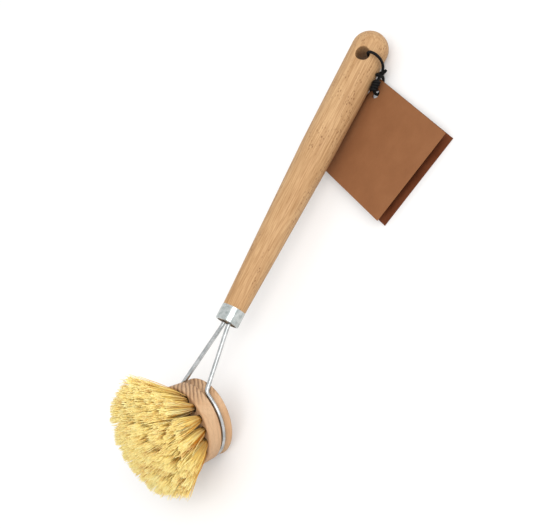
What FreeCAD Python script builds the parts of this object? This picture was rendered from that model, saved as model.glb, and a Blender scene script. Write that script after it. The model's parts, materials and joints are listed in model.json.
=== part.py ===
import FreeCAD, Part
import math
import os
import Sketcher
from FreeCAD import Vector, Placement, Rotation

# A beech dish brush with a replaceable round head, lying on its back on a table.
# Millimetres and degrees. Each size is written once here and goes into the sheet.
SIZES = {
    "handle_length": 169.0,      # tip to the mouth of the ferrule
    "tip_radius": 9.7,           # the rounded end
    "neck_radius": 6.05,         # bare wood beside the ferrule
    "grip_radius": 9.1,          # where the straight taper ends
    "taper_length": 92.0,        # ferrule's upper edge to the end of the taper
    "hang_hole_radius": 3.7,
    "hang_hole_from_tip": 16.0,
    "hang_hole_angle": 33.0,     # turned from the brush's middle plane
    "hang_hole_round": 0.45,     # its two edges, sanded
    "ferrule_length": 8.0,
    "ferrule_wall": 0.45,
    "ferrule_lip": 0.65,         # the mouth's edge is turned in by this
    "ferrule_edge_round": 0.5,
    "tenon_radius": 5.75,        # handle end inside the ferrule
    "tenon_recess": 0.9,         # wood ends this far inside the mouth
    "wire_radius": 1.1,
    "wire_bore_depth": 14.0,
    "wire_spacing": 4.0,         # between the two legs at the mouth
    "wire_exit": 1.8,            # straight run past the mouth before the legs part
    "wire_knee_radius": 3.0,     # tight bend where a leg turns into the loop
    "wire_splay_radius": 14.0,   # gentle bend at the mouth
    "fork_length": 34.5,         # mouth to the near edge of the loop
    "loop_radius": 18.9,         # to the wire's centre
    "knee_angle": 28.0,          # knee's place round the loop, from the middle
    "knee_reach": 0.8,           # knee stands this far outside the loop
    "head_angle": 45.0,          # bristle direction to the handle's axis
    "head_front_radius": 20.9,
    "head_side_radius": 20.3,    # front edge of the groove
    "head_back_radius": 20.0,    # back flange
    "head_thickness": 15.5,
    "groove_height": 5.4,        # groove's middle above the back face
    "groove_clearance": 0.3,     # under the wire
    "groove_front_gap": 1.0,     # in front of the wire
    "groove_back_floor": 0.9,    # floor behind the wire's centre, then the wall slopes
    "flange_rim": 1.6,           # height of the flange's edge
    "flange_round": 1.4,         # its back corner
    "front_edge_round": 0.9,
    "groove_edge_round": 0.5,
    "tuft_radius": 2.1,
    "tuft_hole_depth": 5.0,
    "tuft_neck": 2.6,            # above the face before the fibres spread
    "tuft_tip_radius": 4.6,
    "tuft_pitch": 5.7,           # radius step from ring to ring at the face
    "tuft_lean_angle": 11.0,     # lean added from ring to ring
    "tuft_length": 28.15,        # middle tuft above the face
    "tuft_growth": -1.1,         # length added from ring to ring
    "anchor_length": 3.2,
    "anchor_width": 1.5,
    "anchor_thickness": 0.4,
    "tag_width": 53.6,
    "tag_length": 66.0,
    "tag_thickness": 0.45,
    "tag_gap": 0.1,              # between the leaves at the fold
    "fold_radius": 0.5,
    "fold_clearance": 0.08,      # front leaf to the fold
    "tag_hole_radius": 2.5,
    "tag_hole_from_top": 7.3,
    "tag_hole_from_fold": 5.2,
    "tag_turn_angle": 21.0,
    "tag_open_angle": 4.8,       # front leaf to back leaf
    "tag_slope_angle": 1.6,      # back leaf to the table
    "tag_place_x": 11.9,         # top corner at the fold, from under the tip's middle
    "tag_place_y": 7.4,
    "tag_fold_height": 1.95,
    "cord_radius": 0.75,
    "knot_radius": 1.9,
    "knot_length": 2.3,
    "tip_lift": 0.8,             # the tip lies on its cord
    "middle_x": -121.27,         # tip's place from the middle of the part
    "middle_y": -17.43,
}

RINGS = (1, 6, 12, 18)           # tufts in each ring, middle first

doc = FreeCAD.newDocument("dish_brush")
sheet = doc.addObject("Spreadsheet::Sheet", "sizes")
for row, (alias, number) in enumerate(SIZES.items(), start=1):
    sheet.set("A%d" % row, alias)
    sheet.set("B%d" % row, str(number))
    sheet.setAlias("B%d" % row, alias)
doc.recompute()

pieces = {}


def size(alias):
    return float(sheet.get(alias))


def total(text):
    # "a + b - c" as a number and as an expression on the sheet
    number, words, sign = 0.0, [], 1.0
    for word in text.split():
        if word in ("+", "-"):
            sign = 1.0 if word == "+" else -1.0
            words.append(word)
        else:
            number += sign * size(word)
            words.append("sizes." + word)
    return number, " ".join(words)


def plane(body, role):
    for feature in body.Origin.OriginFeatures:
        if feature.Role == role:
            return feature


def profile(body, name, role, points, arcs=None):
    # A closed outline whose corners are bound to the sheet. Each point is a pair of sums;
    # arcs gives the middle of a rounded side, whose centre lies on the first axis.
    arcs = arcs or {}
    sketch = body.newObject("Sketcher::SketchObject", name)
    sketch.AttachmentSupport = [(plane(body, role), "")]
    sketch.MapMode = "FlatFace"
    spots = []
    for across, along in points:
        spots.append(Vector(total(across)[0] if across else 0, total(along)[0] if along else 0, 0))
    for i, start in enumerate(spots):
        end = spots[(i + 1) % len(spots)]
        if i in arcs:
            sketch.addGeometry(Part.Arc(end, arcs[i], start), False)
            sketch.addConstraint(Sketcher.Constraint("PointOnObject", i, 3, -1))
        else:
            sketch.addGeometry(Part.LineSegment(start, end), False)
    for i in range(len(spots)):
        after = (i + 1) % len(spots)
        sketch.addConstraint(Sketcher.Constraint("Coincident", i, ends(sketch, i, spots[after]),
                                                 after, ends(sketch, after, spots[after])))
    for i, (across, along) in enumerate(points):
        corner = ends(sketch, i, spots[i])
        for kind, text, line in (("DistanceX", across, -2), ("DistanceY", along, -1)):
            if text:
                number, words = total(text)
                index = sketch.addConstraint(Sketcher.Constraint(kind, -1, 1, i, corner, number))
                sketch.setExpression("Constraints[%d]" % index, words)
            else:
                sketch.addConstraint(Sketcher.Constraint("PointOnObject", i, corner, line))
    return sketch


def ends(sketch, index, spot):
    # 1 or 2, whichever end of a side lies at the spot
    side = sketch.Geometry[index]
    return 1 if (side.StartPoint - spot).Length < (side.EndPoint - spot).Length else 2


def body_of(name):
    return doc.addObject("PartDesign::Body", name)


def revolved(body, sketch, axis):
    turn = body.newObject("PartDesign::Revolution", sketch.Name + "_turned")
    turn.Profile = sketch
    turn.ReferenceAxis = (sketch, [axis])
    turn.Angle = 360
    body.Tip = turn
    doc.recompute()
    return turn


def drilled(body, name, radius, depth, place):
    drill = body.newObject("PartDesign::SubtractiveCylinder", name)
    drill.setExpression("Radius", "sizes." + radius)
    drill.setExpression("Height", depth)
    drill.Placement = place
    body.Tip = drill
    doc.recompute()
    return drill


def rounded(body, edge_test, radius):
    base = body.Tip
    names = ["Edge%d" % (i + 1) for i, edge in enumerate(base.Shape.Edges) if edge_test(edge)]
    soft = body.newObject("PartDesign::Fillet", base.Name + "_rounded")
    soft.Base = (base, names)
    soft.setExpression("Radius", "sizes." + radius)
    body.Tip = soft
    doc.recompute()


def finish(name, thing, place):
    thing.Label = name
    thing.Placement = place.multiply(thing.Placement)
    pieces[name] = thing


# How the brush lies: tip and back flange on the table. The tilt that puts both there
# follows from the sizes.
lean = math.radians(size("head_angle"))
reach = size("handle_length") - size("tip_radius") + size("fork_length")
rim = total("loop_radius + head_back_radius - flange_round")[0]
drop = total("groove_height - flange_round")[0]
level = reach + rim * math.sin(lean) - drop * math.cos(lean)
plumb = rim * math.cos(lean) + drop * math.sin(lean)
tilt = math.atan2(plumb, level)
tilt -= math.asin(total("tip_radius + tip_lift - flange_round")[0] / math.hypot(level, plumb))

tip = Vector(size("middle_x"), 0, size("tip_radius") + size("tip_lift")) + Vector(0, size("middle_y"), 0)
along = Vector(math.cos(tilt), 0, math.sin(tilt))
mouth = tip + along * (size("handle_length") - size("tip_radius"))

# Brush frame: x from the mouth towards the head, z to the bristle side.
brush = Placement(mouth, Rotation(Vector(0, 1, 0), -math.degrees(tilt)))
# Handle frame: x from the mouth towards the tip.
handle_place = brush.multiply(Placement(Vector(), Rotation(Vector(0, 0, 1), 180)))
# Head frame: z is the bristle direction, the origin is the middle of the back face.
bristle = Vector(math.cos(lean), 0, math.sin(lean))
away = Vector(math.sin(lean), 0, -math.cos(lean))
loop_middle = Vector(size("fork_length"), 0, 0) + away * size("loop_radius")
head_turn = Rotation(Vector(0, 1, 0), 90 - size("head_angle"))
head_place = brush.multiply(Placement(loop_middle - bristle * size("groove_height"), head_turn))

# Handle: turned beech with a tenon, a hang hole and two bores for the wire.
handle = body_of("handle_body")
tip_middle = Vector(total("handle_length - tip_radius")[0], 0, 0)
tip_middle += Vector(1, 1, 0) * (size("tip_radius") * math.sqrt(0.5))
outline = profile(handle, "handle_outline", "XZ_Plane", [
    ("tenon_recess", ""),
    ("tenon_recess", "tenon_radius"),
    ("ferrule_length", "tenon_radius"),
    ("ferrule_length", "neck_radius"),
    ("ferrule_length + taper_length", "grip_radius"),
    ("handle_length - tip_radius", "tip_radius"),
    ("handle_length", ""),
], {5: tip_middle})
revolved(handle, outline, "H_Axis")
across = Rotation(Vector(1, 0, 0), size("hang_hole_angle"))
hole_spot = Vector(size("handle_length") - size("hang_hole_from_tip"), 0, 0)
hole_start = hole_spot + across.multVec(Vector(0, 0, -2 * size("tip_radius")))
drilled(handle, "hang_hole", "hang_hole_radius", "4 * sizes.tip_radius", Placement(hole_start, across))


def hole_edge(edge):
    # A closed edge that lies on the hang hole's wall.
    if edge.Degenerated or not edge.isClosed():
        return False
    off = edge.Vertexes[0].Point.distanceToLine(hole_spot, across.multVec(Vector(0, 0, 1)))
    return abs(off - size("hang_hole_radius")) < 1e-3


rounded(handle, hole_edge, "hang_hole_round")
for side, word in ((1, "left"), (-1, "right")):
    bore = Placement(Vector(0, side * size("wire_spacing") / 2, 0), Rotation(Vector(0, 1, 0), 90))
    drilled(handle, "wire_bore_" + word, "wire_radius", "sizes.wire_bore_depth", bore)
finish("handle", handle, handle_place)

# Ferrule: a zinc cup without a floor, its mouth turned in.
ferrule = body_of("ferrule_body")
cup = profile(ferrule, "ferrule_outline", "XZ_Plane", [
    ("ferrule_length", "tenon_radius"),
    ("ferrule_length", "tenon_radius + ferrule_wall"),
    ("", "tenon_radius + ferrule_wall"),
    ("", "tenon_radius - ferrule_lip"),
    ("ferrule_lip", "tenon_radius - ferrule_lip"),
    ("ferrule_lip", "tenon_radius"),
])
revolved(ferrule, cup, "H_Axis")


def round_edge(radius, height, axis):
    # The circle of this radius at this height along an axis.
    def test(edge):
        if not isinstance(edge.Curve, Part.Circle):
            return False
        return abs(edge.Curve.Radius - radius) < 1e-4 and abs(edge.Curve.Center.dot(axis) - height) < 1e-4
    return test


rounded(ferrule, round_edge(total("tenon_radius + ferrule_wall")[0], 0, Vector(1, 0, 0)), "ferrule_edge_round")
finish("ferrule", ferrule, handle_place)


def corner(before, spot, after, radius):
    # Start, middle and end of the tangent arc that rounds a corner.
    back = (before - spot).normalize()
    on = (after - spot).normalize()
    half = back.getAngle(on) / 2
    inward = (back + on).normalize()
    centre = spot + inward * (radius / math.sin(half))
    run = radius / math.tan(half)
    return spot + back * run, centre - inward * radius, spot + on * run


def swept(name, edges, radius_name, place):
    # A round bar along a path, its section bound to the sheet.
    path = doc.addObject("Part::Feature", name + "_path")
    path.Shape = Part.Wire(edges)
    start = edges[0].Vertexes[0].Point
    heading = edges[0].tangentAt(edges[0].FirstParameter)
    section = doc.addObject("Part::Circle", name + "_section")
    section.setExpression("Radius", "sizes." + radius_name)
    section.Placement = Placement(start, Rotation(Vector(0, 0, 1), heading))
    bar = doc.addObject("Part::Sweep", name + "_bar")
    bar.Sections = [section]
    bar.Spine = (path, ["Edge%d" % (i + 1) for i in range(len(edges))])
    bar.Solid = True
    bar.Frenet = False
    doc.recompute()
    expected = math.pi * size(radius_name) ** 2 * path.Shape.Length
    print("%s: length %.1f mm, volume against section times length %.4f"
          % (name, path.Shape.Length, bar.Shape.Volume / expected))
    finish(name, bar, place)
    return path.Shape.Length


def loop_point(degrees, radius):
    turn = math.radians(degrees)
    return loop_middle - away * (radius * math.cos(turn)) + Vector(0, radius * math.sin(turn), 0)


# Wire: one length of spring wire, both ends in the handle, looped round the head's groove.
knee_out = size("loop_radius") + size("knee_reach")
leave = size("knee_angle") + math.degrees(math.acos(size("loop_radius") / knee_out))
half_gap = size("wire_spacing") / 2
root = Vector(-size("wire_bore_depth"), half_gap, 0)
part_way = Vector(size("wire_exit"), half_gap, 0)
knee = loop_point(size("knee_angle"), knee_out)
tangent = loop_point(leave, size("loop_radius"))
splay = corner(root, part_way, knee, size("wire_splay_radius"))
bend = corner(part_way, knee, tangent, size("wire_knee_radius"))
half = [
    Part.LineSegment(root, splay[0]),
    Part.Arc(*splay),
    Part.LineSegment(splay[2], bend[0]),
    Part.Arc(*bend),
    Part.LineSegment(bend[2], tangent),
    Part.Arc(tangent, loop_point((leave + 180) / 2, size("loop_radius")), loop_point(180, size("loop_radius"))),
]
wire_edges = [edge.toShape() for edge in half]
mirrored = Part.Wire(wire_edges).mirror(Vector(), Vector(0, 1, 0))
wire_edges = Part.Wire(wire_edges + list(reversed(mirrored.Edges))).OrderedEdges
swept("wire_loop", wire_edges, "wire_radius", brush)

# Head: turned beech block with a groove for the wire and drilled tuft holes.
head = body_of("head_body")
block = profile(head, "head_outline", "XZ_Plane", [
    ("", ""),
    ("head_back_radius", ""),
    ("head_back_radius", "flange_rim"),
    ("loop_radius - wire_radius - groove_clearance", "groove_height - groove_back_floor"),
    ("loop_radius - wire_radius - groove_clearance", "groove_height + wire_radius + groove_front_gap"),
    ("head_side_radius", "groove_height + wire_radius + groove_front_gap"),
    ("head_front_radius", "head_thickness"),
    ("", "head_thickness"),
])
revolved(head, block, "V_Axis")
up = Vector(0, 0, 1)
groove_front = total("groove_height + wire_radius + groove_front_gap")[0]
rounded(head, round_edge(size("head_front_radius"), size("head_thickness"), up), "front_edge_round")
rounded(head, round_edge(size("head_side_radius"), groove_front, up), "groove_edge_round")
rounded(head, round_edge(size("head_back_radius"), 0, up), "flange_round")


def tuft_seat(ring, turn):
    # Where a tuft's axis crosses the face, leaning out with its ring.
    spot = Placement(Vector(ring * size("tuft_pitch"), 0, size("head_thickness")),
                     Rotation(Vector(0, 1, 0), ring * size("tuft_lean_angle")))
    return Placement(Vector(), Rotation(Vector(0, 0, 1), turn)).multiply(spot)


for ring, count in enumerate(RINGS):
    seat = tuft_seat(ring, 0).multiply(Placement(Vector(0, 0, -size("tuft_hole_depth")), Rotation()))
    hole = drilled(head, "tuft_hole_%d" % ring, "tuft_radius", "4 * sizes.tuft_hole_depth", seat)
    if count > 1:
        circle = head.newObject("PartDesign::PolarPattern", "tuft_holes_%d" % ring)
        circle.Originals = [hole]
        circle.Axis = (plane(head, "Z_Axis"), [""])
        circle.Angle = 360
        circle.Occurrences = count
        head.Tip = circle
        doc.recompute()
finish("head_block", head, head_place)

# Tufts: a round root in the hole, spreading above the face, each on a flat anchor.
anchors = []
number = 0
for ring, count in enumerate(RINGS):
    for step in range(count):
        seat = tuft_seat(ring, 360.0 * step / count)
        name = "tuft_%02d" % number
        base = doc.addObject("Part::Cylinder", name + "_root")
        base.setExpression("Radius", "sizes.tuft_radius")
        base.setExpression("Height", "sizes.tuft_hole_depth - sizes.anchor_thickness + sizes.tuft_neck")
        base.Placement.Base = Vector(0, 0, size("anchor_thickness") - size("tuft_hole_depth"))
        fan = doc.addObject("Part::Cone", name + "_fan")
        fan.setExpression("Radius1", "sizes.tuft_radius")
        fan.setExpression("Radius2", "sizes.tuft_tip_radius")
        fan.setExpression("Height", "sizes.tuft_length + %d * sizes.tuft_growth - sizes.tuft_neck" % ring)
        fan.Placement.Base = Vector(0, 0, size("tuft_neck"))
        tuft = doc.addObject("Part::Fuse", name + "_whole")
        tuft.Base = base
        tuft.Tool = fan
        finish(name, tuft, head_place.multiply(seat))
        plate = doc.addObject("Part::Box", "anchor_%02d" % number)
        plate.setExpression("Length", "sizes.anchor_length")
        plate.setExpression("Width", "sizes.anchor_width")
        plate.setExpression("Height", "sizes.anchor_thickness")
        low = Vector(-size("anchor_length") / 2, -size("anchor_width") / 2, -size("tuft_hole_depth"))
        plate.Placement = seat.multiply(Placement(low, Rotation()))
        anchors.append(plate)
        number += 1
anchor_set = doc.addObject("Part::Compound", "anchor_set")
anchor_set.Links = anchors
finish("tuft_anchors", anchor_set, head_place)

# Tag: a folded card under the handle, its fold lying on the cord.
# Tag frame: x along the fold from the top corner, y from the fold to the free edge.
fold = Vector(tip.x + size("tag_place_x"), tip.y + size("tag_place_y"), size("tag_fold_height"))
flat = Placement(fold, Rotation(Vector(0, 0, 1), -size("tag_turn_angle")))
back_place = flat.multiply(Placement(Vector(), Rotation(Vector(1, 0, 0), -size("tag_slope_angle"))))
hinge = Vector(0, 0, size("fold_radius"))
opened = Placement(hinge, Rotation(Vector(1, 0, 0), size("tag_open_angle")))
front_place = back_place.multiply(opened)


def leaf(name, start, low):
    # One leaf of the card with the hole for the cord. It starts this far from the fold;
    # low is its underside in its own frame.
    card = body_of(name + "_body")
    sheet_of_card = profile(card, name + "_outline", "XY_Plane", [
        ("", start),
        ("tag_width", start),
        ("tag_width", "tag_length"),
        ("", "tag_length"),
    ])
    ring = Part.Circle(Vector(size("tag_hole_from_top"), size("tag_hole_from_fold"), 0), Vector(0, 0, 1),
                       size("tag_hole_radius"))
    hole = sheet_of_card.addGeometry(ring, False)
    for kind, word in (("DistanceX", "tag_hole_from_top"), ("DistanceY", "tag_hole_from_fold")):
        index = sheet_of_card.addConstraint(Sketcher.Constraint(kind, -1, 1, hole, 3, size(word)))
        sheet_of_card.setExpression("Constraints[%d]" % index, "sizes." + word)
    index = sheet_of_card.addConstraint(Sketcher.Constraint("Radius", hole, size("tag_hole_radius")))
    sheet_of_card.setExpression("Constraints[%d]" % index, "sizes.tag_hole_radius")
    thick = card.newObject("PartDesign::Pad", name + "_pad")
    thick.Profile = sheet_of_card
    thick.setExpression("Length", "sizes.tag_thickness")
    card.Tip = thick
    card.Placement.Base = Vector(0, 0, low)
    doc.recompute()
    return card


back_leaf = leaf("tag_back", "", 0)
bead = doc.addObject("Part::Cylinder", "fold_bead")
bead.setExpression("Radius", "sizes.fold_radius")
bead.setExpression("Height", "sizes.tag_width")
bead.Placement = Placement(hinge, Rotation(Vector(0, 1, 0), 90))
folded = doc.addObject("Part::Fuse", "tag_back_folded")
folded.Base = back_leaf
folded.Tool = bead
doc.recompute()
finish("tag_back", folded, back_place)
finish("tag_front", leaf("tag_front", "fold_radius + fold_clearance", size("tag_gap") / 2), front_place)


def cord_run(name, points, place):
    # Straight runs joined by tangent arcs, each as large as its runs allow.
    edges = []
    here = points[0]
    radii = []
    for before, spot, after in zip(points, points[1:], points[2:]):
        turn = math.pi - (before - spot).getAngle(after - spot)
        shorter = min((before - spot).Length, (after - spot).Length)
        radius = 0.45 * shorter / math.tan(turn / 2)
        arc = corner(before, spot, after, radius)
        edges.append(Part.LineSegment(here, arc[0]).toShape())
        edges.append(Part.Arc(*arc).toShape())
        here = arc[2]
        radii.append(radius)
    edges.append(Part.LineSegment(here, points[-1]).toShape())
    print("%s: bend radii %s" % (name, " ".join("%.1f" % radius for radius in radii)))
    return swept(name, edges, "cord_radius", place)


# Cord: black elastic through the hang hole, tied beside the handle. Points are measured
# from the table point under the middle of the rounded tip.
cord_place = Placement(Vector(tip.x, tip.y, 0), Rotation())
knot_spot = Vector(11.0, 9.9, 5.2)
cord_run("tag_cord", [
    Vector(10.4, 10.1, 5.5),
    Vector(8.4, 10.9, 6.4),
    Vector(6.5, 11.6, 9.2),
    Vector(5.0, 11.5, 13.0),
    Vector(4.6, 10.0, 17.2),
    Vector(5.2, 7.0, 20.2),
    Vector(5.9, 3.6, 18.4),
    Vector(6.2, 1.0, 13.0),
    Vector(6.9, -3.6, 6.2),
    Vector(7.4, -6.2, 2.6),
    Vector(8.6, -6.9, 0.95),
    Vector(10.6, -5.4, 0.86),
    Vector(11.3, -2.2, 0.86),
    Vector(10.9, 2.0, 0.86),
    Vector(10.2, 5.6, 1.2),
    Vector(10.2, 8.2, 2.7),
    Vector(10.7, 9.5, 4.8),
], cord_place)
cord_run("cord_hitch", [
    Vector(11.8, 10.1, 5.4),
    Vector(14.8, 10.8, 5.7),
    Vector(18.0, 10.7, 5.1),
    Vector(20.2, 9.9, 3.4),
    Vector(20.4, 9.6, 1.6),
    Vector(18.9, 9.9, 0.8),
    Vector(15.8, 11.0, 0.8),
    Vector(12.8, 12.4, 0.85),
    Vector(10.8, 12.0, 2.4),
    Vector(10.9, 10.6, 4.6),
], cord_place)
lump = doc.addObject("Part::Ellipsoid", "knot_lump")
lump.setExpression("Radius1", "sizes.knot_radius")
lump.setExpression("Radius2", "sizes.knot_length")
lump.setExpression("Radius3", "sizes.knot_radius")
knot_parts = [lump]
for word, heading in (("first", Vector(-0.78, 0.6, 0.12)), ("second", Vector(0.3, 0.12, 0.95))):
    tail = doc.addObject("Part::Cylinder", word + "_tail")
    tail.setExpression("Radius", "sizes.cord_radius")
    tail.setExpression("Height", "2 * sizes.knot_length")
    tail.Placement = Placement(Vector(), Rotation(Vector(0, 0, 1), heading))
    knot_parts.append(tail)
tied = doc.addObject("Part::MultiFuse", "knot_tied")
tied.Shapes = knot_parts
finish("cord_knot", tied, cord_place.multiply(Placement(knot_spot, Rotation())))

doc.recompute()
for thing in doc.Objects:
    if "Invalid" in thing.State or "Error" in thing.State:
        raise RuntimeError("%s did not compute: %s" % (thing.Name, thing.State))
for name, thing in pieces.items():
    if thing.Shape.isNull() or not thing.Shape.isValid():
        raise RuntimeError("%s has no valid shape" % name)

os.makedirs("parts", exist_ok=True)
for name, thing in pieces.items():
    thing.Shape.exportStep("parts/%s.step" % name)
print("tilt %.3f degrees, %d pieces" % (math.degrees(tilt), len(pieces)))
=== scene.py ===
import bpy
import json
import math
import random
from mathutils import Matrix, Vector


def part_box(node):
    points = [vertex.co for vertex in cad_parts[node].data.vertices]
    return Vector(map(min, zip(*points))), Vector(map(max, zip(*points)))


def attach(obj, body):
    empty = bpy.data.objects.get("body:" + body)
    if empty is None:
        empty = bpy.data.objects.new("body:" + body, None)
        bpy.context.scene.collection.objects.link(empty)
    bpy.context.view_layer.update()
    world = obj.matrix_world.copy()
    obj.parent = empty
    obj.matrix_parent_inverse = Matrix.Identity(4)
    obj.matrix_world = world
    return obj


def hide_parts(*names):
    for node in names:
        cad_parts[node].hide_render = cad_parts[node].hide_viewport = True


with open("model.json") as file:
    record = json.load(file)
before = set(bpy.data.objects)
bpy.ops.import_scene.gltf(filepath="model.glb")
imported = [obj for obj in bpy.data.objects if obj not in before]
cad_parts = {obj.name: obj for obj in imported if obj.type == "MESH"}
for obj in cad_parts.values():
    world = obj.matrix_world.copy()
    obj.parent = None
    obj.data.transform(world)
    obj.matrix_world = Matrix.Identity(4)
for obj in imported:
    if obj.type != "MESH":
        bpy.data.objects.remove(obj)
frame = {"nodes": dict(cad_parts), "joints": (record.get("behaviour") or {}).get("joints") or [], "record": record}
nodes = frame["nodes"]
joints = {joint["name"]: joint for joint in frame["joints"]}
mounts = {mount["name"]: mount for mount in frame["record"]["mounts"]}
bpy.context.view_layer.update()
mm = 0.001


def linear(hexText):
    channels = [int(hexText[i:i + 2], 16) / 255 for i in (1, 3, 5)]
    return [c / 12.92 if c <= 0.04045 else ((c + 0.055) / 1.055) ** 2.4 for c in channels] + [1.0]


def perMm(count):  # pattern repeats in one millimetre, as a scale for coordinates in metres
    return count / mm


def addNode(tree, kind, settings=None, links=None):
    # a socket that shares its name with another is given by its number
    node = tree.nodes.new(kind)
    for name, value in (settings or {}).items():
        if name == "stops":  # places and tones along a ramp, a tone being a colour or a number
            marks = node.color_ramp.elements
            while len(marks) < len(value):
                marks.new(0.5)
            for mark, (spot, tone) in zip(marks, value):
                mark.position = spot
                mark.color = linear(tone) if isinstance(tone, str) else [tone] * 3 + [1.0]
        elif isinstance(name, int) or name in node.inputs:
            node.inputs[name].default_value = value
        else:
            setattr(node, name, value)
    for name, socket in (links or {}).items():
        tree.links.new(socket, node.inputs[name])
    return node


def newMaterial(name, settings):
    material = bpy.data.materials.new(name)
    material.use_nodes = True
    tree = material.node_tree
    shader = tree.nodes["Principled BSDF"]
    for socket, value in settings.items():
        shader.inputs[socket].default_value = value
    return material, tree, shader


def dress(piece, material):
    piece.data.materials.clear()
    piece.data.materials.append(material)
    if piece.type == "MESH":
        for face in piece.data.polygons:
            face.material_index = 0
    return piece


def meshPiece(name, points, faces, smooth=True):
    mesh = bpy.data.meshes.new(name)
    mesh.from_pydata(points, [], faces)
    for face in mesh.polygons:
        face.use_smooth = smooth
    piece = bpy.data.objects.new(name, mesh)
    bpy.context.scene.collection.objects.link(piece)
    return piece


# the brush's own directions, from the frame
headMiddle = Vector(joints["head_turn"]["pos_m"])      # middle of the wire's loop
bristleWay = Vector(joints["head_turn"]["axis"]).normalized()
sideWay = Vector((0, 1, 0))
downWay = sideWay.cross(bristleWay)                    # across the head, away from the handle
handleLow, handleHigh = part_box("handle")
ferruleLow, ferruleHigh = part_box("ferrule")
ferruleMiddle = (ferruleLow + ferruleHigh) / 2
hangHole = Vector(mounts["hang_hole"]["pos_m"])
handleWay = (ferruleMiddle - hangHole).normalized()    # from the rounded tip to the ferrule

camera = {
    "place": (0.08923, 0.56686, 0.53939),
    "right": (-0.39764, 0.64409, -0.65347),
    "up": (-0.91087, -0.19137, 0.36565),
    "back": (0.11046, 0.74062, 0.66278),
    "focalPixels": 1573.0, "imageWidth": 533,
    "sensorWidth": 36.0, "nearest": 0.05,
}


def addCamera(c):
    lens = bpy.data.cameras.new("photoCamera")
    lens.sensor_fit = "HORIZONTAL"
    lens.sensor_width = c["sensorWidth"]
    lens.lens = c["focalPixels"] * c["sensorWidth"] / c["imageWidth"]
    lens.clip_start = c["nearest"]
    eye = bpy.data.objects.new("photoCamera", lens)
    turn = Matrix((c["right"], c["up"], c["back"])).transposed().to_4x4()
    eye.matrix_world = Matrix.Translation(c["place"]) @ turn
    bpy.context.scene.collection.objects.link(eye)
    bpy.context.scene.camera = eye


addCamera(camera)
print("camera placed")


# Beech, turned and sanded, no varnish: warm tan, long soft growth lines and short dark ray flecks.
# Real flecks are narrower; these are as wide as they need to be to show.
handleBeech = {
    "pale": "#c7a378", "warm": "#b99267", "line": "#966e45", "fleck": "#6e4627",
    "lineWidthMm": 1.6, "lineDark": 0.36, "wander": 5.0, "bendMm": (45, 9),
    "streakWidthMm": 0.5, "streakDark": 0.75,
    "fleckLengthMm": 1.5, "fleckWidthMm": 0.7, "fleckDark": 0.75,
    "endGrain": None,
    "plankWay": (0, 0.5, 0.866),    # through the plank that the handle was cut from
}
# The head is cut across the plank, so its two ends show the growth lines as dark stripes.
headBeech = {
    "pale": "#c9a682", "warm": "#bd956f", "line": "#54351f", "fleck": "#7d573b",
    "lineWidthMm": 1.9, "lineDark": 0.78, "wander": 1.1, "bendMm": (60, 8),
    "streakWidthMm": 0.7, "streakDark": 0.12,
    "fleckLengthMm": 1.6, "fleckWidthMm": 0.5, "fleckDark": 0.16,
    "endGrain": {"reachMm": 20.3, "starts": 0.74, "full": 0.92, "sides": 0.08},
    "layersFace": (0.78, -0.62),    # how far the growth layers face the bristles and the side
}
# what both share; pairs of millimetres are along and across the grain
sandedBeech = {
    "specular": 0.3, "ior": 1.5, "roughness": (0.5, 0.68), "bumpStrength": 0.25, "bumpMm": 0.06,
    "broadMm": (60, 5), "broadDetail": 3.0, "warmTo": 0.32, "paleFrom": 0.66,
    "streakLengthMm": 18, "streakDetail": 5.0, "streakRough": 0.65,
    "streakTo": 0.36, "plainFrom": 0.58,
    "bendDetail": 2.0, "ringFaint": (0.3, 0.06), "ringDarkest": 0.72,
    "cellLengths": 1.6, "cellWidths": 1.7,   # room that each fleck has
    "fleckTo": 0.12, "fleckEnds": 0.34,
    "patchMm": (25, 6), "patchDetail": 1.0, "patchStops": ((0.44, 0.05), (0.58, 1.0)),
}


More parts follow.
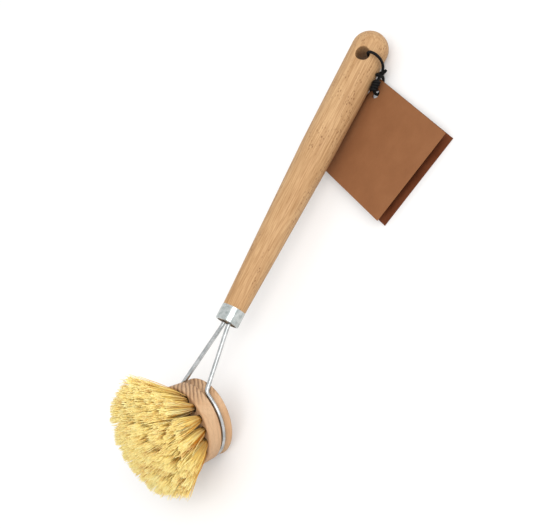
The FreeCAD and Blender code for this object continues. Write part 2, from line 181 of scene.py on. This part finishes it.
def beechMaterial(name, w, s, grainWay, layerWay, middle):
    material, tree, shader = newMaterial(
        name, {"Specular IOR Level": s["specular"], "IOR": s["ior"]})
    place = addNode(tree, "ShaderNodeTexCoord").outputs["Object"]
    fromMiddle = addNode(tree, "ShaderNodeVectorMath", {"operation": "SUBTRACT", 1: middle},
                         {0: place}).outputs["Vector"]
    acrossWay = layerWay.cross(grainWay).normalized()
    dots = []
    for way in (grainWay, acrossWay, layerWay):
        dot = addNode(tree, "ShaderNodeVectorMath", {"operation": "DOT_PRODUCT", 1: way},
                      {0: fromMiddle})
        dots.append(dot.outputs["Value"])
    grain = addNode(tree, "ShaderNodeCombineXYZ", links=dict(zip("XYZ", dots))).outputs["Vector"]

    # the same place at each pattern's own scale
    patternMm = {
        "broad": s["broadMm"], "streak": (s["streakLengthMm"], w["streakWidthMm"]),
        "bend": w["bendMm"], "patch": s["patchMm"],
        "cell": (w["fleckLengthMm"] * s["cellLengths"], w["fleckWidthMm"] * s["cellWidths"]),
    }
    stretched = {}
    for word, (alongMm, acrossMm) in patternMm.items():
        scale = (perMm(1 / alongMm), perMm(1 / acrossMm), perMm(1 / acrossMm))
        stretched[word] = addNode(tree, "ShaderNodeVectorMath", {"operation": "MULTIPLY", 1: scale},
                                  {0: grain}).outputs["Vector"]

    # broad warm and pale areas, and fine streaks along the grain
    broad = addNode(tree, "ShaderNodeTexNoise", {"Scale": 1.0, "Detail": s["broadDetail"]},
                    {"Vector": stretched["broad"]}).outputs["Fac"]
    stops = [(s["warmTo"], w["warm"]), (s["paleFrom"], w["pale"])]
    colour = addNode(tree, "ShaderNodeValToRGB", {"stops": stops}, {"Fac": broad}).outputs["Color"]
    streak = addNode(tree, "ShaderNodeTexNoise",
                     {"Scale": 1.0, "Detail": s["streakDetail"], "Roughness": s["streakRough"]},
                     {"Vector": stretched["streak"]}).outputs["Fac"]
    stops = [(s["streakTo"], w["streakDark"]), (s["plainFrom"], 0.0)]
    streakDark = addNode(tree, "ShaderNodeValToRGB", {"stops": stops},
                         {"Fac": streak}).outputs["Color"]

    # growth lines: layers across the grain, bent by a slow noise
    bend = addNode(tree, "ShaderNodeTexNoise", {"Scale": 1.0, "Detail": s["bendDetail"]},
                   {"Vector": stretched["bend"]}).outputs["Fac"]
    wander = addNode(tree, "ShaderNodeMath", {"operation": "MULTIPLY", 1: w["wander"]}, {0: bend})
    layer = addNode(tree, "ShaderNodeMath",
                    {"operation": "MULTIPLY_ADD", 1: perMm(1 / w["lineWidthMm"])},
                    {0: dots[2], 2: wander.outputs[0]})
    ring = addNode(tree, "ShaderNodeMath", {"operation": "FRACT"}, {0: layer.outputs[0]}).outputs[0]
    stops = [(0.0, 0.0), s["ringFaint"], (s["ringDarkest"], w["lineDark"]), (1.0, 0.0)]
    ringDark = addNode(tree, "ShaderNodeValToRGB", {"stops": stops}, {"Fac": ring}).outputs["Color"]
    ends = w["endGrain"]
    if ends:
        # the cut ends drink more light, so the lines are dark there and faint on the sides
        reach = addNode(tree, "ShaderNodeMath", {"operation": "ABSOLUTE"}, {0: dots[0]}).outputs[0]
        cut = addNode(tree, "ShaderNodeMapRange",
                      {"From Min": ends["reachMm"] * ends["starts"] * mm,
                       "From Max": ends["reachMm"] * ends["full"] * mm,
                       "To Min": ends["sides"], "To Max": 1.0}, {"Value": reach}).outputs[0]
        ringDark = addNode(tree, "ShaderNodeMath", {"operation": "MULTIPLY"},
                           {0: ringDark, 1: cut}).outputs[0]

    # ray flecks: short spindles along the grain, in patches
    cell = addNode(tree, "ShaderNodeTexVoronoi", {"Scale": 1.0},
                   {"Vector": stretched["cell"]}).outputs["Distance"]
    stops = [(s["fleckTo"], w["fleckDark"]), (s["fleckEnds"], 0.0)]
    fleck = addNode(tree, "ShaderNodeValToRGB", {"stops": stops}, {"Fac": cell}).outputs["Color"]
    patch = addNode(tree, "ShaderNodeTexNoise", {"Scale": 1.0, "Detail": s["patchDetail"]},
                    {"Vector": stretched["patch"]}).outputs["Fac"]
    few = addNode(tree, "ShaderNodeValToRGB", {"stops": s["patchStops"]},
                  {"Fac": patch}).outputs["Color"]
    fleck = addNode(tree, "ShaderNodeMath", {"operation": "MULTIPLY"},
                    {0: fleck, 1: few}).outputs[0]

    for amount, tint in ((streakDark, w["line"]), (ringDark, w["line"]), (fleck, w["fleck"])):
        colour = addNode(tree, "ShaderNodeMix", {"data_type": "RGBA", 7: linear(tint)},
                         {0: amount, 6: colour}).outputs[2]
    tree.links.new(colour, shader.inputs["Base Color"])
    low, high = s["roughness"]
    rough = addNode(tree, "ShaderNodeMapRange", {"To Min": low, "To Max": high}, {"Value": streak})
    tree.links.new(rough.outputs[0], shader.inputs["Roughness"])
    hollow = addNode(tree, "ShaderNodeMath", {"operation": "ADD"},
                     {0: fleck, 1: streakDark}).outputs[0]
    bump = addNode(tree, "ShaderNodeBump",
                   {"Strength": s["bumpStrength"], "Distance": s["bumpMm"] * mm, "invert": True},
                   {"Height": hollow})
    tree.links.new(bump.outputs["Normal"], shader.inputs["Normal"])
    return material


handleMiddle = (handleLow + handleHigh) / 2
plankWay = Vector(handleBeech["plankWay"])
handleLayers = (plankWay - handleWay * (plankWay.z * handleWay.z)).normalized()
facesBristles, facesSide = headBeech["layersFace"]
headLayers = (bristleWay * facesBristles + sideWay * facesSide).normalized()
dress(nodes["handle"],
      beechMaterial("beechTurned", handleBeech, sandedBeech, handleWay, handleLayers, handleMiddle))
dress(nodes["head_block"],
      beechMaterial("beechTurnedEndGrain", headBeech, sandedBeech, downWay, headLayers, headMiddle))
print("beech done")


# Zinc-plated steel, drawn bright: pale grey half mirror with drawing lines and a slight cloud.
# Real drawing lines are finer; these are as coarse as they need to be to show.
zincWire = {"colour": "#c2c4c4", "dull": "#a8abab", "roughness": (0.16, 0.28),
            "cloudMm": 3.0, "lineMm": 0.25}
zincSheet = {"colour": "#c4c9c8", "dull": "#a7aead", "roughness": (0.16, 0.3),
             "cloudMm": 2.2, "lineMm": 0.3}
drawnZinc = {
    "cloudDetail": 4.0, "dullTo": 0.35, "brightFrom": 0.6,
    "lineDetail": 2.0, "lineRange": (0.3, 0.7), "squeeze": 0.96,
    "bumpStrength": 0.12, "bumpMm": 0.03,
}


def zincMaterial(name, z, s, drawnWay):
    material, tree, shader = newMaterial(name, {"Metallic": 1.0})
    place = addNode(tree, "ShaderNodeTexCoord").outputs["Object"]
    cloud = addNode(tree, "ShaderNodeTexNoise",
                    {"Scale": perMm(1 / z["cloudMm"]), "Detail": s["cloudDetail"]},
                    {"Vector": place}).outputs["Fac"]
    stops = [(s["dullTo"], z["dull"]), (s["brightFrom"], z["colour"])]
    colour = addNode(tree, "ShaderNodeValToRGB", {"stops": stops}, {"Fac": cloud}).outputs["Color"]
    tree.links.new(colour, shader.inputs["Base Color"])
    # squeezed along the drawing direction, so that the noise runs out into lines
    along = addNode(tree, "ShaderNodeVectorMath", {"operation": "DOT_PRODUCT", 1: drawnWay},
                    {0: place})
    part = addNode(tree, "ShaderNodeVectorMath", {"operation": "SCALE", 0: drawnWay},
                   {"Scale": along.outputs["Value"]}).outputs["Vector"]
    squeezed = addNode(tree, "ShaderNodeVectorMath",
                       {"operation": "MULTIPLY_ADD", 1: [-s["squeeze"]] * 3},
                       {0: part, 2: place}).outputs["Vector"]
    lines = addNode(tree, "ShaderNodeTexNoise",
                    {"Scale": perMm(1 / z["lineMm"]), "Detail": s["lineDetail"]},
                    {"Vector": squeezed}).outputs["Fac"]
    first, last = s["lineRange"]
    low, high = z["roughness"]
    rough = addNode(tree, "ShaderNodeMapRange",
                    {"From Min": first, "From Max": last, "To Min": low, "To Max": high},
                    {"Value": lines}).outputs[0]
    tree.links.new(rough, shader.inputs["Roughness"])
    bump = addNode(tree, "ShaderNodeBump",
                   {"Strength": s["bumpStrength"], "Distance": s["bumpMm"] * mm}, {"Height": lines})
    tree.links.new(bump.outputs["Normal"], shader.inputs["Normal"])
    return material


dress(nodes["wire_loop"], zincMaterial("zincDrawnWire", zincWire, drawnZinc, handleWay))
dress(nodes["ferrule"], zincMaterial("zincDrawnSheet", zincSheet, drawnZinc, handleWay))
dress(nodes["tuft_anchors"], zincMaterial("zincCutAnchor", zincWire, drawnZinc, bristleWay))
print("zinc done")


# Plant fibre, dried and cut: stiff straw-yellow hairs, pale at the cut ends and orange low down
# between the tufts, that orange being partly the fibre's own colour and partly painted shade of the
# gaps. The fibres are a little thicker than real ones, so that single fibres show.
bristle = {
    "rings": (1, 6, 12, 18), "pitchMm": 5.7, "leanDegrees": 9.0,
    "faceMm": 10.1,                 # front face above the groove's middle
    "lengthMm": 29.2, "growthMm": -1.15,
    "lowTrimMm": 2.4,               # the outer tufts are this much shorter next to the table
    "clumpUnevenMm": 0.9, "proudMm": 0.3, "unevenMm": 1.5, "unevenShare": (-1, 0.2),
    "sunkMm": 9.0, "sunkBelow": 0.35,   # a clump with a tone below this lies lower
    "sinkMm": 1.5,                  # fibres start this far inside the hole
    "rootRadiusMm": 1.35, "tipRadiusMm": 5.3, "spreadPower": 0.9, "bendMm": 0.9,
    "fibres": 240, "clumps": 11, "clumpReach": 0.85, "clumpSpread": 0.15,
    "loose": 0.14, "looseSpread": 0.7, "reach": 1.3,
    "rootThickMm": 0.3, "middleThickMm": 0.42, "tipThickMm": 0.26,
    "steps": 5, "sides": 3, "seed": 11,
    "clumpTone": (0.5, 0.26), "fibreTone": 0.2,
    "tonesWithGapShade": (                      # from clump to clump
        # the deep orange at the low end is painted shade of the gaps between sunk clumps; the rest is the fibres'
        # own tone
        (0.0, "#d0861f"), (0.2, "#ecb040"), (0.38, "#ffe386"), (0.75, "#ffe386"), (1.0, "#fff4b4")),
    "tintsAndRootShade": (                      # from root to tip
        # the roots' orange-brown is partly the fibre's own colour and partly painted shade deep inside the tufts
        ("#b4691b", ((0.15, 0.6), (0.62, 0.0))),
        ("#fff4b4", ((0.72, 0.0), (1.0, 0.5)))),
    "specular": 0.2, "ior": 1.5, "roughness": (0.48, 0.66),
}


def fibreMaterial(b):
    material, tree, shader = newMaterial(
        "plantFibreCut", {"Specular IOR Level": b["specular"], "IOR": b["ior"]})
    tone = addNode(tree, "ShaderNodeAttribute", {"attribute_name": "tone"}).outputs["Fac"]
    along = addNode(tree, "ShaderNodeAttribute", {"attribute_name": "along"}).outputs["Fac"]
    colour = addNode(tree, "ShaderNodeValToRGB", {"stops": b["tonesWithGapShade"]},
                     {"Fac": tone}).outputs["Color"]
    # the root tint and the low clump tone are partly painted shade of the gaps between tufts
    for tint, stops in b["tintsAndRootShade"]:
        amount = addNode(tree, "ShaderNodeValToRGB", {"stops": stops},
                         {"Fac": along}).outputs["Color"]
        colour = addNode(tree, "ShaderNodeMix", {"data_type": "RGBA", 7: linear(tint)},
                         {0: amount, 6: colour}).outputs[2]
    tree.links.new(colour, shader.inputs["Base Color"])
    low, high = b["roughness"]
    rough = addNode(tree, "ShaderNodeMapRange", {"To Min": low, "To Max": high}, {"Value": tone})
    tree.links.new(rough.outputs[0], shader.inputs["Roughness"])
    return material


def discPoint(rng, radius):
    turn = rng.random() * 2 * math.pi
    reach = radius * math.sqrt(rng.random())
    return Vector((reach * math.cos(turn), reach * math.sin(turn)))


def tuftMesh(name, b, rng, seat, way, tuftLength):
    side = way.orthogonal().normalized()
    other = way.cross(side)
    clumps = [discPoint(rng, b["clumpReach"]) for _ in range(b["clumps"])]
    clumpTone = [rng.gauss(*b["clumpTone"]) for _ in clumps]
    clumpLength = []
    for tone in clumpTone:
        uneven = min(b["proudMm"], rng.gauss(0, b["clumpUnevenMm"]))
        clumpLength.append(uneven - b["sunkMm"] * max(0, b["sunkBelow"] - tone))
    points, faces, tonesWithGapShade, alongs = [], [], [], []
    n = b["sides"]
    for _ in range(b["fibres"]):
        pick = rng.randrange(len(clumps))
        spread = b["looseSpread"] if rng.random() < b["loose"] else b["clumpSpread"]
        spot = clumps[pick] + Vector((rng.gauss(0, spread), rng.gauss(0, spread)))
        spot *= min(1.0, b["reach"] / max(spot.length, 1e-6))
        length = tuftLength + clumpLength[pick] + rng.uniform(*b["unevenShare"]) * b["unevenMm"]
        bow = discPoint(rng, b["bendMm"] * mm)
        tone = min(1.0, max(0.0, clumpTone[pick] + rng.gauss(0, b["fibreTone"])))
        spin = rng.random() * math.pi
        first = len(points)
        for step in range(b["steps"] + 1):
            t = step / b["steps"]
            fan = b["rootRadiusMm"] + (b["tipRadiusMm"] - b["rootRadiusMm"]) * t ** b["spreadPower"]
            rootPull = 1.0 if spot.length <= 1.0 else 1.0 / spot.length ** (1 - t)
            off = spot * (fan * rootPull * mm) + bow * math.sin(math.pi * t)
            rise = t * length * mm - (1 - t) * b["sinkMm"] * mm
            middle = seat + way * rise + side * off.x + other * off.y
            thick = b["rootThickMm"] + (b["middleThickMm"] - b["rootThickMm"]) * min(1, 2 * t)
            thick += (b["tipThickMm"] - b["middleThickMm"]) * max(0, 2 * t - 1) ** 2
            for k in range(n):
                turn = spin + 2 * math.pi * k / n
                rim = side * math.cos(turn) + other * math.sin(turn)
                points.append(middle + rim * (thick * mm / 2))
                tonesWithGapShade.append(tone)
                alongs.append(t)
        for step in range(b["steps"]):
            low = first + step * n
            for k in range(n):
                after = (k + 1) % n
                faces.append((low + k, low + after, low + n + after, low + n + k))
        top = first + b["steps"] * n
        faces.append(tuple(range(top, top + n)))
        faces.append(tuple(reversed(range(first, first + n))))
    piece = meshPiece(name, points, faces)
    for word, values in (("tone", tonesWithGapShade), ("along", alongs)):
        piece.data.attributes.new(word, "FLOAT", "POINT").data.foreach_set("value", values)
    return piece


def addBristles(b):
    rng = random.Random(b["seed"])
    material = fibreMaterial(b)
    number = 0
    outerRing = len(b["rings"]) - 1
    for ring, count in enumerate(b["rings"]):
        lean = math.radians(ring * b["leanDegrees"])
        for step in range(count):
            turn = 2 * math.pi * step / count
            outward = downWay * math.cos(turn) + sideWay * math.sin(turn)
            seat = headMiddle + bristleWay * (b["faceMm"] * mm)
            seat = seat + outward * (ring * b["pitchMm"] * mm)
            way = bristleWay * math.cos(lean) + outward * math.sin(lean)
            trim = ring / outerRing * b["lowTrimMm"] * max(0, math.cos(turn))
            length = b["lengthMm"] + ring * b["growthMm"] - trim
            piece = dress(tuftMesh("fibres_%02d" % number, b, rng, seat, way, length), material)
            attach(piece, "head")
            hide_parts("tuft_%02d" % number)
            number += 1
    print("bristles done,", number, "tufts")


addBristles(bristle)


# Kraft card, uncoated: matt mid brown with short paler and darker fibres pressed into it.
# Real fibres are thinner; these are as wide as they need to be to show.
cardOuter = {"base": "#865838", "dark": "#7f5233", "pale": "#8e603f",
             "fibreLengthMm": 1.6, "fibreWidthMm": 0.22, "mottleMm": 9.0}
# Its inner side, with coarser fibres, is painted a good deal darker: painted shade, the front leaf's shadow over
# the strip of it that shows.
cardInnerPaintedShade = {"base": "#6b3a22", "dark": "#5d301a", "pale": "#7a472c",
             "fibreLengthMm": 2.0, "fibreWidthMm": 0.3, "mottleMm": 6.0}
kraftCard = {
    "specular": 0.15, "roughness": (0.78, 0.92), "bumpStrength": 0.2, "bumpMm": 0.05,
    "mottleDetail": 4.0, "mottleStops": (0.1, 0.5, 0.95),
    "fibreDepthMm": 2.0, "fibreDetail": 2.0, "fibreStarts": 0.56, "fibreFull": 0.7,
    "layers": (                     # turn, tone and strength
        (0.4, "pale", 0.35), (1.9, "dark", 0.45), (2.7, "pale", 0.25)),
}


def kraftMaterial(name, c, s):
    material, tree, shader = newMaterial(name, {"Specular IOR Level": s["specular"]})
    place = addNode(tree, "ShaderNodeTexCoord").outputs["Object"]
    mottle = addNode(tree, "ShaderNodeTexNoise",
                     {"Scale": perMm(1 / c["mottleMm"]), "Detail": s["mottleDetail"]},
                     {"Vector": place}).outputs["Fac"]
    stops = list(zip(s["mottleStops"], (c["dark"], c["base"], c["pale"])))
    colour = addNode(tree, "ShaderNodeValToRGB", {"stops": stops}, {"Fac": mottle}).outputs["Color"]
    scale = [perMm(1 / size) for size in (c["fibreLengthMm"], c["fibreWidthMm"], s["fibreDepthMm"])]
    for turn, tone, amount in s["layers"]:
        laid = addNode(tree, "ShaderNodeMapping", {"Rotation": (0, 0, turn), "Scale": scale},
                       {"Vector": place}).outputs["Vector"]
        fibre = addNode(tree, "ShaderNodeTexNoise", {"Scale": 1.0, "Detail": s["fibreDetail"]},
                        {"Vector": laid}).outputs["Fac"]
        stops = [(s["fibreStarts"], 0.0), (s["fibreFull"], amount)]
        mark = addNode(tree, "ShaderNodeValToRGB", {"stops": stops},
                       {"Fac": fibre}).outputs["Color"]
        colour = addNode(tree, "ShaderNodeMix", {"data_type": "RGBA", 7: linear(c[tone])},
                         {0: mark, 6: colour}).outputs[2]
    tree.links.new(colour, shader.inputs["Base Color"])
    low, high = s["roughness"]
    rough = addNode(tree, "ShaderNodeMapRange", {"To Min": low, "To Max": high}, {"Value": mottle})
    tree.links.new(rough.outputs[0], shader.inputs["Roughness"])
    # the last layer of fibres also stands proud
    bump = addNode(tree, "ShaderNodeBump",
                   {"Strength": s["bumpStrength"], "Distance": s["bumpMm"] * mm}, {"Height": fibre})
    tree.links.new(bump.outputs["Normal"], shader.inputs["Normal"])
    return material


dress(nodes["tag_front"], kraftMaterial("kraftCardPressed", cardOuter, kraftCard))
# the back leaf's darker colour is painted shade from the front leaf
dress(nodes["tag_back"], kraftMaterial("kraftCardPaintedShade", cardInnerPaintedShade, kraftCard))
print("tag done")


# Braided elastic: soft black, with the braid's threads as faint small lumps, their raised tops a touch lighter as
# painted sheen.
# Real threads are finer; these are as coarse as they need to be to show.
elastic = {
    "diameterMm": 1.5, "roundSteps": 4, "runSteps": 10, "bendOrder": 3,
    "colour": "#080808", "raisedSheen": "#141313", "roughness": 0.75, "specular": 0.2,
    "braidMm": 0.9, "cellsPerBraid": 1.6, "sheenTo": 0.15, "sunkFrom": 0.6,
    "bumpStrength": 0.6, "bumpMm": 0.12,
    "tipRadiusMm": 9.7,                  # points count from the table under the middle of the tip
    "loop": (
        (10.4, 10.1, 5.5), (8.4, 11.0, 6.6), (6.4, 11.9, 9.0), (4.9, 12.1, 12.2),
        (4.1, 11.3, 15.6), (4.0, 9.4, 18.0), (4.4, 7.2, 17.6), (4.7, 5.2, 14.6),
        (5.1, 2.1, 9.6), (5.9, -2.2, 5.0), (7.2, -6.2, 2.4), (8.6, -6.9, 0.95),
        (10.2, -5.4, 0.86), (10.6, -2.2, 0.86), (9.8, 2.0, 0.86), (8.7, 5.6, 1.1),
        (8.5, 8.0, 2.5), (10.2, 9.4, 4.8)),
    "hitch": (
        (11.6, 10.2, 5.6), (14.4, 11.1, 7.3), (18.0, 11.2, 7.5), (20.6, 10.9, 6.6),
        (20.8, 10.0, 4.0), (20.4, 9.6, 1.6), (18.9, 9.5, 0.8), (15.4, 9.3, 0.8),
        (12.4, 8.4, 0.82), (10.6, 7.4, 0.85), (9.8, 7.2, 1.9), (10.3, 8.5, 4.2)),
    "wrap": {"from": (14.9, 11.3, 7.6), "to": (20.6, 11.2, 7.4), "reachMm": 1.5,
             "turns": 4, "perTurn": 8},
    "knotMiddle": (11.0, 9.9, 5.2), "knotReachMm": 0.72,
    "knotSteps": 12, "knotShape": (0.75, 1.2, 0.6),
    "tails": ((-0.78, 0.6, 0.12), (0.3, 0.12, 0.95)), "tailMm": 3.9, "tailBend": 0.55,
    "loopLengthMm": 61.2, "exit": (4.4, 7.2, 17.6),
}


def elasticMaterial(e):
    material, tree, shader = newMaterial(
        "elasticBraided", {"Roughness": e["roughness"], "Specular IOR Level": e["specular"]})
    place = addNode(tree, "ShaderNodeTexCoord").outputs["Object"]
    weave = addNode(tree, "ShaderNodeTexVoronoi",
                    {"Scale": perMm(e["cellsPerBraid"] / e["braidMm"])},
                    {"Vector": place}).outputs["Distance"]
    # the raised threads' lighter tone is painted sheen
    stops = [(e["sheenTo"], e["raisedSheen"]), (e["sunkFrom"], e["colour"])]
    colour = addNode(tree, "ShaderNodeValToRGB", {"stops": stops}, {"Fac": weave}).outputs["Color"]
    tree.links.new(colour, shader.inputs["Base Color"])
    bump = addNode(tree, "ShaderNodeBump",
                   {"Strength": e["bumpStrength"], "Distance": e["bumpMm"] * mm, "invert": True},
                   {"Height": weave})
    tree.links.new(bump.outputs["Normal"], shader.inputs["Normal"])
    return material


def cordCurve(name, runs, e):
    curve = bpy.data.curves.new(name, "CURVE")
    curve.dimensions = "3D"
    curve.bevel_depth = e["diameterMm"] * mm / 2
    curve.bevel_resolution = e["roundSteps"]
    curve.use_fill_caps = True
    curve.resolution_u = e["runSteps"]
    for points in runs:
        line = curve.splines.new("NURBS")
        line.points.add(len(points) - 1)
        for knob, spot in zip(line.points, points):
            knob.co = (*spot, 1.0)
        line.order_u = e["bendOrder"]
        line.use_endpoint_u = True
    piece = bpy.data.objects.new(name, curve)
    bpy.context.scene.collection.objects.link(piece)
    return piece


def knotPoints(middle, e):
    # a tight overhand knot: in along one tail, three crossings, out along the other
    reach = e["knotReachMm"] * mm
    wide, deep, high = e["knotShape"]
    first, last = [Vector(way).normalized() for way in e["tails"]]
    tail, bend = e["tailMm"] * mm, e["tailMm"] * e["tailBend"] * mm
    points = [middle + first * tail, middle + first * bend]
    for step in range(e["knotSteps"] + 1):
        t = 2 * math.pi * step / e["knotSteps"]
        x = math.sin(t) + 2 * math.sin(2 * t)
        y = math.cos(t) - 2 * math.cos(2 * t)
        z = -math.sin(3 * t)
        points.append(middle + Vector((x * wide, z * deep, y * high)) * reach)
    points += [middle + last * bend, middle + last * tail]
    return points


def wrapPoints(start, end, w):
    # the hitch's turns round its own strand
    along = (end - start).normalized()
    side = along.cross(Vector((0, 0, 1))).normalized()
    over = along.cross(side)
    count = w["turns"] * w["perTurn"]
    points = []
    for step in range(count + 1):
        turn = 2 * math.pi * step / w["perTurn"]
        ring = (side * math.cos(turn) + over * math.sin(turn)) * (w["reachMm"] * mm)
        points.append(start.lerp(end, step / count) + ring)
    return points


def addElastic(e):
    start = Vector((handleLow.x + e["tipRadiusMm"] * mm, ferruleMiddle.y, 0))
    material = elasticMaterial(e)

    def placed(points):
        return [start + Vector(p) * mm for p in points]

    wrapEnds = placed([e["wrap"]["from"], e["wrap"]["to"]])
    hitchRuns = [placed(e["hitch"]), wrapPoints(*wrapEnds, e["wrap"])]
    knotRun = knotPoints(placed([e["knotMiddle"]])[0], e)
    loop = dress(cordCurve("elasticLoop", [placed(e["loop"])], e), material)
    hitch = dress(cordCurve("elasticHitch", hitchRuns, e), material)
    knot = dress(cordCurve("elasticKnot", [knotRun], e), material)
    for piece, node in ((loop, "tag_cord"), (hitch, "cord_hitch"), (knot, "cord_knot")):
        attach(piece, "brush")
        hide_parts(node)
    print("elastic done")


addElastic(elastic)


# White table, a soft lamp above the head's near side and another beside the camera
studio = {
    "floorColour": "#dad9d8", "floorSize": 6.0, "floorRoughness": 0.9, "floorSpecular": 0.1,
    "cameraLift": 0.17,
    "worldColour": "#ffffff", "worldStrength": 0.95,
    "lamps": {
        "topLight": {"place": (0.25, 0.7, 1.1), "size": 0.9, "power": 6.1, "mirrored": False},
        "frontLight": {"place": (-0.376, 0.99, 0.75), "size": 1.1, "power": 6.4, "mirrored": True},
    },
}


def seenOrMirrored(tree):
    # 1 for rays from the camera and for what gloss or glass shows
    path = addNode(tree, "ShaderNodeLightPath").outputs
    seen = path["Is Camera Ray"]
    for word in ("Is Glossy Ray", "Is Transmission Ray"):
        seen = addNode(tree, "ShaderNodeMath", {"operation": "MAXIMUM"},
                       {0: seen, 1: path[word]}).outputs[0]
    return seen


def addStudio(s):
    half = s["floorSize"] / 2
    corners = [(-half, -half, 0), (half, -half, 0), (half, half, 0), (-half, half, 0)]
    floor = meshPiece("tableTop", corners, [(0, 1, 2, 3)], smooth=False)
    material, tree, shader = newMaterial("tableWhite", {
        "Base Color": linear(s["floorColour"]), "Roughness": s["floorRoughness"],
        "Specular IOR Level": s["floorSpecular"], "Emission Color": (1, 1, 1, 1)})
    glow = addNode(tree, "ShaderNodeMath", {"operation": "MULTIPLY", 1: s["cameraLift"]},
                   {0: seenOrMirrored(tree)})
    tree.links.new(glow.outputs[0], shader.inputs["Emission Strength"])
    dress(floor, material)

    world = bpy.data.worlds.new("softRoom")
    bpy.context.scene.world = world
    world.use_nodes = True
    tree = world.node_tree
    backdrop = tree.nodes["Background"]
    backdrop.inputs["Color"].default_value = linear(s["worldColour"])
    strength = addNode(tree, "ShaderNodeMapRange", {"To Min": s["worldStrength"], "To Max": 1.0},
                       {"Value": seenOrMirrored(tree)})
    tree.links.new(strength.outputs[0], backdrop.inputs["Strength"])

    for name, setting in s["lamps"].items():
        lamp = bpy.data.lights.new(name, "AREA")
        lamp.shape = "DISK"
        lamp.size = setting["size"]
        lamp.energy = setting["power"]
        stand = bpy.data.objects.new(name, lamp)
        stand.location = setting["place"]
        stand.visible_glossy = setting["mirrored"]
        towards = -Vector(setting["place"])            # at the middle of the frame
        stand.rotation_euler = towards.to_track_quat("-Z", "Y").to_euler()
        bpy.context.scene.collection.objects.link(stand)
    bpy.context.scene.view_settings.view_transform = "Standard"
    print("studio done")


addStudio(studio)
